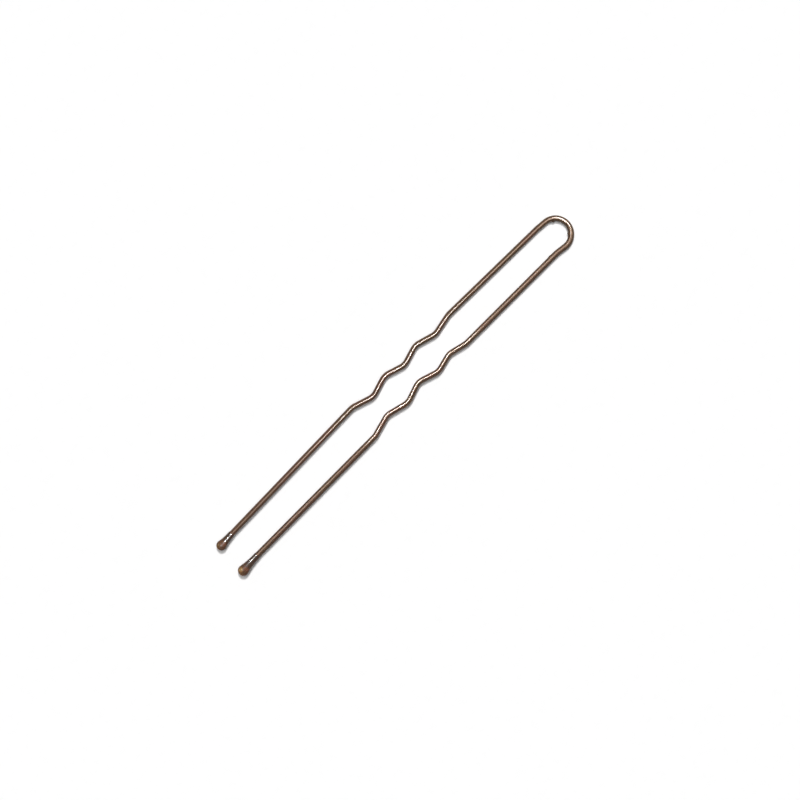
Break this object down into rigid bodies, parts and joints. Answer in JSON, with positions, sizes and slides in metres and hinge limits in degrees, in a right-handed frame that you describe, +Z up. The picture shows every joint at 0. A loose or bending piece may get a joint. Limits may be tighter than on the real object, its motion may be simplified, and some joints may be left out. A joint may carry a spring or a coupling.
{
  "type": "hair pin",
  "caption": "Waved U-shaped hair pin of brown lacquered spring wire, with a round bow, crimped legs that spring apart, and resin drop tips.",
  "frame": {"origin": "centre of the bow's bend, in the mid-plane of the wire", "axes": "+X along the pin from its tips towards the bow, +Y towards the left leg, +Z up from the surface that the pin lies on"},
  "size_m": [0.0748, 0.0072, 0.0018],
  "materials": {
    "lacquered_wire": "glossy brown lacquer over drawn spring-steel wire",
    "tip_resin": "glossy amber-brown resin"
  },
  "bodies": {
    "bow": {"bow": "lacquered_wire"},
    "left_leg": {"left_shank": "lacquered_wire", "left_waist": "lacquered_wire", "left_tail": "lacquered_wire", "left_tip": "tip_resin"},
    "right_leg": {"right_shank": "lacquered_wire", "right_waist": "lacquered_wire", "right_tail": "lacquered_wire", "right_tip": "tip_resin"}
  },
  "joints": [
    {"name": "left_leg_flex", "type": "hinge", "parent": "bow", "child": "left_leg", "pos_m": [0.00021, 0.00245, 0], "axis": [0, 0, -1], "range_deg": [-1.25, 6], "stiffness_Nm_per_rad": 0.23},
    {"name": "right_leg_flex", "type": "hinge", "parent": "bow", "child": "right_leg", "pos_m": [-0.00032, -0.00243, 0], "axis": [0, 0, 1], "range_deg": [-1.25, 6], "stiffness_Nm_per_rad": 0.23}
  ]
}
